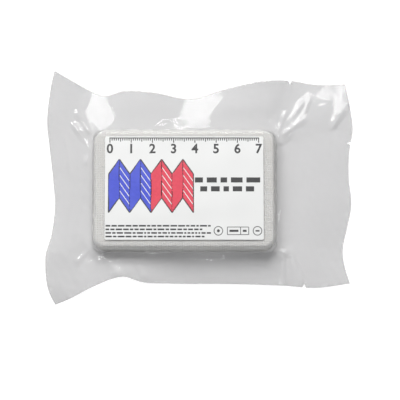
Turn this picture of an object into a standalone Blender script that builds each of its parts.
"""A vacuum-sealed pack of compressed gauze, lying on its back.

A long strip of gauze is folded once along its length, folded to and fro into a stack, and pressed
into a firm pad. Two webs of clear film, a front and a back, are drawn over the pad by the vacuum and
sealed to each other round it, which leaves a wide, wavy margin of film on all four sides. A paper
label is stuck on the front. Three small tear notches are cut in the margin.

Frame: +Z is up, the pad's back rests on z = 0 with its centre at the origin, the pack is longest
along X, and the wide margin where it is torn open points to +X. Lengths are in metres.
"""

import math

import bmesh
import bpy
import numpy as np

MM = 0.001

# The strip of gauze, and the pad that it is pressed into. Half of the folded strip's turns show at
# each end of the pad.
GAUZE_WIDTH = 114.3 * MM
GAUZE_LENGTH = 3750 * MM
PAD_LENGTH = 86.5 * MM
PAD_DEPTH = GAUZE_WIDTH / 2
PAD_HEIGHT = 23.0 * MM
PAD_CORNER = 6.5 * MM
SIDE_BULGE = 5.0 * MM
FOLD_GROOVE = 0.5 * MM
LAYER_GROOVE = 0.15 * MM
CORNER_SIDES = 4

# The two webs of film. Clearance is the room kept between any two pieces that lie on each other.
FILM = 0.25 * MM
CLEARANCE = 0.3 * MM
FOOT_FILLET = 3.0 * MM

# The margin of film beyond each side of the pad, and the size of the waves in its edge
LEFT_MARGIN = 19.5 * MM
RIGHT_MARGIN = 35.25 * MM
FAR_MARGIN = 20.4 * MM
NEAR_MARGIN = 15.9 * MM
EDGE_WAVE = 7.0 * MM

# The tear notches
NOTCH_WIDTH = 1.7 * MM
NOTCH_DEPTH = 1.8 * MM

# The label on the front
LABEL_LENGTH = 74.6 * MM
LABEL_WIDTH = 48.9 * MM
LABEL_PAPER = 0.2 * MM
LABEL_CORNER = 0.8 * MM

# Heights and half sizes that follow from the sizes above
PAD_BASE = FILM + CLEARANCE
PAD_MIDDLE = PAD_BASE + PAD_HEIGHT / 2
FRONT_TOP = PAD_BASE + PAD_HEIGHT + CLEARANCE + FILM
FOLD_TURNS = round(GAUZE_LENGTH / PAD_LENGTH / 2)
WRAP_X = PAD_LENGTH / 2 + CLEARANCE
WRAP_Y = PAD_DEPTH / 2 + CLEARANCE

# The film spans the pad's corners, so its own corners are this share as round. Its margin hangs at
# most this share of the way down to the surface that the pack lies on.
WRAP_CORNER_SHARE = 0.6
MARGIN_DROP_SHARE = 0.7

# How square the pad's rounded sides are: 2 is an ellipse, and more is squarer
SIDE_POWER = 2.3

# The margin's outer edge, side by side. Along is the share of the side's length, from its left or
# near end. Out is how far the edge stands outside its mean line, as a share of that side's margin.
# Lift is how far it rises above the pad's middle, as a share of EDGE_WAVE.
EDGE_COLUMNS = ("along", "out", "lift")
FAR_EDGE = (
    (0.00, 0.41, 0.30),
    (0.06, 0.19, 0.28),
    (0.12, 0.00, 0.05),
    (0.17, -0.13, -0.38),
    (0.24, -0.04, 0.10),
    (0.34, -0.09, 0.22),
    (0.46, -0.20, -0.25),
    (0.59, 0.02, 0.05),
    (0.72, 0.18, 0.30),
    (0.80, 0.20, 0.05),
    (0.90, 0.11, -0.20),
    (1.00, 0.13, 0.15),
)
NEAR_EDGE = (
    (0.00, 0.58, -0.45),
    (0.06, 0.38, -0.25),
    (0.14, 0.05, 0.05),
    (0.20, -0.17, 0.45),
    (0.24, -0.24, 0.50),
    (0.30, -0.09, 0.10),
    (0.40, -0.05, -0.30),
    (0.60, -0.04, -0.35),
    (0.78, 0.02, -0.05),
    (0.88, 0.09, 0.15),
    (1.00, -0.04, -0.10),
)
LEFT_EDGE = (
    (0.00, -0.09, 0.00),
    (0.06, 0.10, 0.20),
    (0.12, 0.16, 0.25),
    (0.26, 0.01, 0.05),
    (0.39, -0.06, -0.20),
    (0.54, -0.01, -0.15),
    (0.70, 0.08, 0.15),
    (0.84, 0.14, 0.30),
    (0.93, 0.06, 0.20),
    (1.00, -0.04, 0.10),
)
RIGHT_EDGE = (
    (0.00, -0.01, 0.10),
    (0.08, -0.07, -0.10),
    (0.17, -0.10, -0.30),
    (0.30, -0.03, -0.05),
    (0.40, 0.02, 0.20),
    (0.55, -0.01, 0.00),
    (0.68, 0.00, -0.15),
    (0.79, 0.05, 0.20),
    (0.92, 0.00, 0.25),
    (1.00, -0.04, 0.05),
)

# Folds that the vacuum pulls up in the margin, each from near the pad out to the edge. Their ends
# are shares: up to 1 of the film's half length and half width over the pad, and past 1 of the
# margin. Width is a share of the near margin, rise of the pad's height, and a fold with a negative
# rise is a valley. Spread is how many times wider the fold is at its outer end.
FOLD_COLUMNS = ("from_x", "from_y", "to_x", "to_y", "width", "rise", "spread")
FILM_FOLDS = (
    (-1.02, 1.03, -0.86, 1.95, 0.32, 0.150, 1.3),
    (-0.94, 1.02, -1.75, 1.75, 0.28, 0.085, 1.8),
    (0.98, 1.03, 1.38, 1.95, 0.28, -0.100, 1.6),
    (1.02, 0.98, 1.75, 1.55, 0.28, 0.090, 2.0),
    (1.00, -1.02, 1.30, -1.95, 0.28, 0.085, 1.4),
    (0.92, -1.03, 0.98, -1.90, 0.26, -0.070, 1.2),
    (-0.90, -1.02, -0.72, -1.90, 0.30, 0.120, 1.4),
    (-0.60, -1.03, -0.46, -1.85, 0.34, 0.070, 1.4),
    (-1.02, -0.98, -1.60, -1.50, 0.28, -0.080, 1.6),
)

# Where the front film spans from the pad's rim out to the margin like a tent, instead of following
# the wall down. Along is the place on the side, from -1 to 1. Width is a share of the side's half
# length, rise of half the pad's height, and reach of that side's margin.
TENT_COLUMNS = ("side", "along", "width", "rise", "reach")
FILM_TENTS = (
    ("far", 0.05, 0.42, 0.85, 0.42),
    ("far", -0.75, 0.22, 0.75, 0.34),
    ("far", 0.80, 0.20, 0.75, 0.30),
    ("near", -0.40, 0.30, 0.70, 0.36),
    ("near", 0.25, 0.30, 0.75, 0.36),
    ("left", 0.30, 0.55, 0.65, 0.36),
    ("right", -0.10, 0.70, 0.60, 0.18),
)

# The tear notches: the side that each is cut in, and the share of that side's length
NOTCHES = (("far", 0.803), ("near", 0.846), ("right", 0.721))

# Where a web's rows and columns lie: shares of the margins, and of the film's bulge over the rim
MARGIN_STEPS = (1.0, 0.75, 0.52, 0.32, 0.15, 0.03)
WIDE_MARGIN_STEPS = (1.0, 0.86, 0.72, 0.58, 0.45, 0.33, 0.21, 0.1, 0.02)
RIM_STEPS = (0.0, 0.04, 0.18, 0.43, 0.71, 1.0)
LONG_FACE_CUTS = 7
SHORT_FACE_CUTS = 5


def clear_scene():
    """Removes every object, so that the scene holds this model alone."""
    for old in list(bpy.data.objects):
        bpy.data.objects.remove(old, do_unlink=True)


def new_collection(name):
    """A collection of that name, linked to the scene."""
    made = bpy.data.collections.new(name)
    bpy.context.scene.collection.children.link(made)
    return made


def move_to(obj, home):
    """Puts an object in one collection alone."""
    for collection in list(obj.users_collection):
        collection.objects.unlink(obj)
    home.objects.link(obj)


def new_finish(name, colour, roughness, alpha=1.0):
    """A Principled material in the part's own colour."""
    material = bpy.data.materials.new(name)
    material.use_nodes = True
    shader = material.node_tree.nodes["Principled BSDF"]
    shader.inputs["Base Color"].default_value = (*colour, 1.0)
    shader.inputs["Roughness"].default_value = roughness
    shader.inputs["Metallic"].default_value = 0.0
    shader.inputs["Alpha"].default_value = alpha
    material.diffuse_color = (*colour, alpha)
    return material


# Curves and blends that the shapes are made of


def smooth_step(value):
    """0 below 0, 1 above 1, and an S-shaped curve between."""
    t = np.clip(value, 0.0, 1.0)
    return t * t * (3.0 - 2.0 * t)


def smooth_max(a, b, blend):
    """The greater of a and b, rounded over where they are within blend of each other."""
    near = np.maximum(blend - np.abs(a - b), 0.0)
    return np.maximum(a, b) + near * near / (4.0 * blend)


def through_knots(knots, values, at):
    """A smooth curve through the values at the knots: a cubic that passes each at its mean slope."""
    knots = np.asarray(knots, float)
    values = np.asarray(values, float)
    slopes = np.gradient(values, knots)
    place = np.clip(np.searchsorted(knots, at, side="right") - 1, 0, len(knots) - 2)
    span = knots[place + 1] - knots[place]
    t = np.clip((at - knots[place]) / span, 0.0, 1.0)
    start = (1 + 2 * t) * (1 - t) ** 2 * values[place]
    start_slope = t * (1 - t) ** 2 * span * slopes[place]
    end = t * t * (3 - 2 * t) * values[place + 1]
    end_slope = t * t * (t - 1) * span * slopes[place + 1]
    return start + start_slope + end + end_slope


def inside_distance(x, y, half_x, half_y, corner):
    """How far a point lies inside a rectangle with rounded corners; negative outside it."""
    beyond_x = np.abs(x) - (half_x - corner)
    beyond_y = np.abs(y) - (half_y - corner)
    outside = np.hypot(np.maximum(beyond_x, 0.0), np.maximum(beyond_y, 0.0))
    within = np.minimum(np.maximum(beyond_x, beyond_y), 0.0)
    return corner - outside - within


def side_height(inside, half_height, bulge):
    """Half the thickness this far inside the widest line: a superellipse over the bulge."""
    t = np.clip(inside / bulge, 0.0, 1.0)
    return half_height * (1.0 - (1.0 - t) ** SIDE_POWER) ** (1.0 / SIDE_POWER)


def side_inset(height_share, bulge):
    """How far the side lies inside its widest line at this share of half the thickness."""
    t = min(abs(height_share), 1.0)
    return bulge * (1.0 - (1.0 - t**SIDE_POWER) ** (1.0 / SIDE_POWER))


# The pad of gauze


def rounded_loop(half_x, half_y, corner):
    """Points round a rectangle with rounded corners, each corner an arc."""
    centres = ((1, 1, 0), (-1, 1, 90), (-1, -1, 180), (1, -1, 270))
    points = []
    for sign_x, sign_y, start in centres:
        for step in range(CORNER_SIDES + 1):
            angle = math.radians(start + 90 * step / CORNER_SIDES)
            x = sign_x * (half_x - corner) + corner * math.cos(angle)
            y = sign_y * (half_y - corner) + corner * math.sin(angle)
            points.append((x, y))
    return points


def pad_section(level, levels):
    """One level of the pad: its height, and its loop there, drawn in at the grooves between turns."""
    share = 2 * level / (levels - 1) - 1
    inset = side_inset(share, SIDE_BULGE)
    groove = 1 if level % 2 == 0 else 0
    uneven = 0.5 + 0.5 * math.sin(2.4 * level) * math.sin(0.7 * level + 1.0)
    inset_x = inset + FOLD_GROOVE * (groove + 0.6 * uneven)
    inset_y = inset + LAYER_GROOVE * (groove + uneven)
    corner = max(PAD_CORNER - inset, PAD_CORNER / 4)
    z = PAD_MIDDLE + share * PAD_HEIGHT / 2
    return [(x, y, z) for x, y in rounded_loop(PAD_LENGTH / 2 - inset_x, PAD_DEPTH / 2 - inset_y, corner)]


def make_pad(name, finish, home):
    """The pressed stack of folded gauze: a loft through a crest and a groove for each fold turn."""
    levels = 2 * FOLD_TURNS + 1
    shape = bmesh.new()
    loops = []
    for level in range(levels):
        loops.append([shape.verts.new(point) for point in pad_section(level, levels)])
    around = len(loops[0])
    for lower, upper in zip(loops, loops[1:]):
        for i in range(around):
            j = (i + 1) % around
            shape.faces.new((lower[i], lower[j], upper[j], upper[i]))
    shape.faces.new(loops[0][::-1])
    shape.faces.new(loops[-1])
    mesh = bpy.data.meshes.new(name)
    shape.to_mesh(mesh)
    shape.free()
    mesh.materials.append(finish)
    mesh.shade_smooth()
    mesh.set_sharp_from_angle(angle=math.radians(50))
    pad = bpy.data.objects.new(name, mesh)
    home.objects.link(pad)
    return pad


# The webs of film


def from_share(share, half, low_margin, high_margin):
    """The place at a share: of the half size up to 1, and past 1 of the margin on that side."""
    if share > 1.0:
        return half + (share - 1.0) * high_margin
    if share < -1.0:
        return -half + (share + 1.0) * low_margin
    return share * half


def sheet_lines(half, low_steps, low_margin, high_steps, high_margin, face_cuts):
    """The places of a web's rows or columns: over the margins, the rims and the flat face."""
    bulge = SIDE_BULGE + CLEARANCE
    face = half - bulge
    low = [-half - low_margin * step for step in low_steps]
    low += [-half + bulge * step for step in RIM_STEPS]
    high = [half - bulge * step for step in reversed(RIM_STEPS)]
    high += [half + high_margin * step for step in reversed(high_steps)]
    return np.array(low + list(np.linspace(-face, face, face_cuts + 2)[1:-1]) + high)


def edge_curves(table, along):
    """The out and lift shares of one side's edge at places along it."""
    columns = dict(zip(EDGE_COLUMNS, zip(*table)))
    out = through_knots(columns["along"], columns["out"], along)
    lift = through_knots(columns["along"], columns["lift"], along)
    return out, lift


def draw_edges(x, y):
    """Moves a flat sheet's margin in, out, up and down as the edge tables say."""
    width = 2 * WRAP_X + LEFT_MARGIN + RIGHT_MARGIN
    depth = 2 * WRAP_Y + NEAR_MARGIN + FAR_MARGIN
    along_x = (x + WRAP_X + LEFT_MARGIN) / width
    along_y = (y + WRAP_Y + NEAR_MARGIN) / depth
    left = smooth_step((-WRAP_X - x) / LEFT_MARGIN)
    right = smooth_step((x - WRAP_X) / RIGHT_MARGIN)
    near = smooth_step((-WRAP_Y - y) / NEAR_MARGIN)
    far = smooth_step((y - WRAP_Y) / FAR_MARGIN)
    left_out, left_lift = edge_curves(LEFT_EDGE, along_y)
    right_out, right_lift = edge_curves(RIGHT_EDGE, along_y)
    near_out, near_lift = edge_curves(NEAR_EDGE, along_x)
    far_out, far_lift = edge_curves(FAR_EDGE, along_x)
    moved_x = x + right * right_out * RIGHT_MARGIN - left * left_out * LEFT_MARGIN
    moved_y = y + far * far_out * FAR_MARGIN - near * near_out * NEAR_MARGIN
    lift = left * left_lift + right * right_lift + near * near_lift + far * far_lift
    return moved_x, moved_y, lift * EDGE_WAVE


def fold_heights(x, y):
    """Sum of the film's folds: rounded ridges along straight lines, fading out at both ends."""
    height = np.zeros_like(x)
    for row in FILM_FOLDS:
        fold = dict(zip(FOLD_COLUMNS, row))
        start_x = from_share(fold["from_x"], WRAP_X, LEFT_MARGIN, RIGHT_MARGIN)
        start_y = from_share(fold["from_y"], WRAP_Y, NEAR_MARGIN, FAR_MARGIN)
        stop_x = from_share(fold["to_x"], WRAP_X, LEFT_MARGIN, RIGHT_MARGIN)
        stop_y = from_share(fold["to_y"], WRAP_Y, NEAR_MARGIN, FAR_MARGIN)
        length = math.hypot(stop_x - start_x, stop_y - start_y)
        unit_x = (stop_x - start_x) / length
        unit_y = (stop_y - start_y) / length
        along = ((x - start_x) * unit_x + (y - start_y) * unit_y) / length
        across = (x - start_x) * unit_y - (y - start_y) * unit_x
        spread = 1.0 + (fold["spread"] - 1.0) * np.clip(along, 0.0, 1.0)
        width = fold["width"] * NEAR_MARGIN * spread
        fade = smooth_step(along / 0.2 + 0.2) * smooth_step((1.35 - along) / 0.5)
        height += fold["rise"] * PAD_HEIGHT * fade * np.exp(-((across / width) ** 2))
    return height


def tent_heights(x, y):
    """The highest of the tents: film that falls away from the rim on both sides of it."""
    bulge = SIDE_BULGE + CLEARANCE
    sides = {
        "far": (x / WRAP_X, y - WRAP_Y + bulge, FAR_MARGIN),
        "near": (x / WRAP_X, -WRAP_Y - y + bulge, NEAR_MARGIN),
        "left": (y / WRAP_Y, -WRAP_X - x + bulge, LEFT_MARGIN),
        "right": (y / WRAP_Y, x - WRAP_X + bulge, RIGHT_MARGIN),
    }
    height = np.zeros_like(x)
    for row in FILM_TENTS:
        tent = dict(zip(TENT_COLUMNS, row))
        place, beyond, margin = sides[tent["side"]]
        across = (place - tent["along"]) / tent["width"]
        fall = np.exp(-np.abs(beyond) / (tent["reach"] * margin))
        rise = tent["rise"] * PAD_HEIGHT / 2 * np.exp(-across * across) * fall
        height = np.maximum(height, rise)
    return height


def web_surface(x, y, side):
    """One web's face next to the pad. side is 1 for the front web and -1 for the back one."""
    inside = inside_distance(x, y, WRAP_X, WRAP_Y, PAD_CORNER * WRAP_CORNER_SHARE)
    wrapped = side_height(inside, PAD_HEIGHT / 2 + CLEARANCE, SIDE_BULGE + CLEARANCE)
    wrapped = wrapped + PAD_HEIGHT / FOOT_FILLET * np.minimum(inside, 0.0)
    out_x, out_y, lift = draw_edges(x, y)
    folds = fold_heights(x, y) * smooth_step(-inside / (2.0 * FOOT_FILLET))
    margin = np.maximum(lift + folds, -MARGIN_DROP_SHARE * PAD_MIDDLE)
    level = CLEARANCE / 2 + side * margin
    if side > 0:
        level = level + tent_heights(x, y) * (1.0 - level / (PAD_HEIGHT / 2))
    return out_x, out_y, PAD_MIDDLE + side * smooth_max(wrapped, level, FOOT_FILLET)


def make_web(name, side, finish, home):
    """A web of film: a grid as large as the sheet, drawn over the pad and given its thickness."""
    columns = sheet_lines(
        WRAP_X, MARGIN_STEPS, LEFT_MARGIN, WIDE_MARGIN_STEPS, RIGHT_MARGIN, LONG_FACE_CUTS
    )
    rows = sheet_lines(
        WRAP_Y, MARGIN_STEPS, NEAR_MARGIN, MARGIN_STEPS, FAR_MARGIN, SHORT_FACE_CUTS
    )
    bpy.ops.mesh.primitive_grid_add(
        x_subdivisions=len(columns) - 1, y_subdivisions=len(rows) - 1, size=1.0
    )
    web = bpy.context.object
    web.name = name
    points = np.empty(len(web.data.vertices) * 3)
    web.data.vertices.foreach_get("co", points)
    points = points.reshape(-1, 3)
    column = np.rint((points[:, 0] + 0.5) * (len(columns) - 1)).astype(int)
    row = np.rint((points[:, 1] + 0.5) * (len(rows) - 1)).astype(int)
    x, y, z = web_surface(columns[column], rows[row], side)
    web.data.vertices.foreach_set("co", np.column_stack((x, y, z)).ravel())
    web.data.update()
    if side < 0:
        web.data.flip_normals()
    wall = web.modifiers.new("film thickness", "SOLIDIFY")
    wall.thickness = FILM
    wall.offset = 1.0
    wall.use_even_offset = True
    web.data.shade_smooth()
    web.data.materials.append(finish)
    move_to(web, home)
    return web


# The tear notches


def notch_place(side, along):
    """The point on the margin's edge where a notch is cut, and the angle that points inwards."""
    across_x = -WRAP_X - LEFT_MARGIN + along * (2 * WRAP_X + LEFT_MARGIN + RIGHT_MARGIN)
    across_y = -WRAP_Y - NEAR_MARGIN + along * (2 * WRAP_Y + NEAR_MARGIN + FAR_MARGIN)
    places = {
        "far": (across_x, WRAP_Y + FAR_MARGIN, math.pi),
        "near": (across_x, -WRAP_Y - NEAR_MARGIN, 0.0),
        "right": (WRAP_X + RIGHT_MARGIN, across_y, math.pi / 2),
    }
    x, y, turn = places[side]
    edge_x, edge_y, _ = draw_edges(np.array([x]), np.array([y]))
    return float(edge_x[0]), float(edge_y[0]), turn


def make_notch_cutter(side, along, home):
    """A three-sided prism whose point reaches into the film by the notch's depth."""
    x, y, turn = notch_place(side, along)
    outside = NOTCH_DEPTH
    reach = NOTCH_DEPTH + outside
    bpy.ops.mesh.primitive_cylinder_add(vertices=3, radius=1.0, depth=1.0)
    cutter = bpy.context.object
    cutter.name = f"notch_{side}"
    mesh = cutter.data
    points = np.empty(len(mesh.vertices) * 3)
    mesh.vertices.foreach_get("co", points)
    points = points.reshape(-1, 3)
    low = points[:, 1].min()
    tip_share = (points[:, 1] - low) / (points[:, 1].max() - low)
    wide = points[:, 0] / np.abs(points[:, 0]).max()
    local_x = wide * NOTCH_WIDTH / 2 * reach / NOTCH_DEPTH
    local_y = tip_share * reach - outside
    local_z = points[:, 2] * 2 * (FRONT_TOP + EDGE_WAVE)
    mesh.vertices.foreach_set("co", np.column_stack((local_x, local_y, local_z)).ravel())
    mesh.update()
    cutter.location = (x, y, PAD_MIDDLE)
    cutter.rotation_euler = (0.0, 0.0, turn)
    cutter.hide_render = True
    cutter.display_type = "WIRE"
    move_to(cutter, home)
    return cutter


def cut_notches(web, cutters):
    """Cuts each notch out of a web, through its whole thickness."""
    for cutter in cutters:
        cut = web.modifiers.new(cutter.name, "BOOLEAN")
        cut.operation = "DIFFERENCE"
        cut.object = cutter


# The label


def make_label(name, finish, home):
    """A sheet of paper with slightly rounded corners, flat on the front film."""
    shape = bmesh.new()
    bmesh.ops.create_cube(shape, size=1.0)
    bmesh.ops.scale(shape, vec=(LABEL_LENGTH, LABEL_WIDTH, LABEL_PAPER), verts=shape.verts)
    middle = FRONT_TOP + CLEARANCE + LABEL_PAPER / 2
    bmesh.ops.translate(shape, vec=(0.0, 0.0, middle), verts=shape.verts)
    upright = [edge for edge in shape.edges if abs(edge.verts[0].co.z - edge.verts[1].co.z) > LABEL_PAPER / 2]
    bmesh.ops.bevel(
        shape, geom=upright, offset=LABEL_CORNER, segments=CORNER_SIDES, profile=0.5, affect="EDGES"
    )
    mesh = bpy.data.meshes.new(name)
    shape.to_mesh(mesh)
    shape.free()
    mesh.materials.append(finish)
    label = bpy.data.objects.new(name, mesh)
    home.objects.link(label)
    return label


# The pack

clear_scene()
parts = new_collection("compressed_gauze_pack")
cutters = new_collection("cutters")
film = new_finish("clear_film", (0.86, 0.87, 0.89), 0.12, alpha=0.35)
cotton = new_finish("pressed_cotton_gauze", (0.76, 0.75, 0.70), 0.95)
paper = new_finish("coated_label_paper", (0.87, 0.88, 0.88), 0.45)
make_pad("gauze_pad", cotton, parts)
front = make_web("pouch_front", 1, film, parts)
back = make_web("pouch_back", -1, film, parts)
make_label("label", paper, parts)
notch_cutters = [make_notch_cutter(side, along, cutters) for side, along in NOTCHES]
for web in (front, back):
    cut_notches(web, notch_cutters)
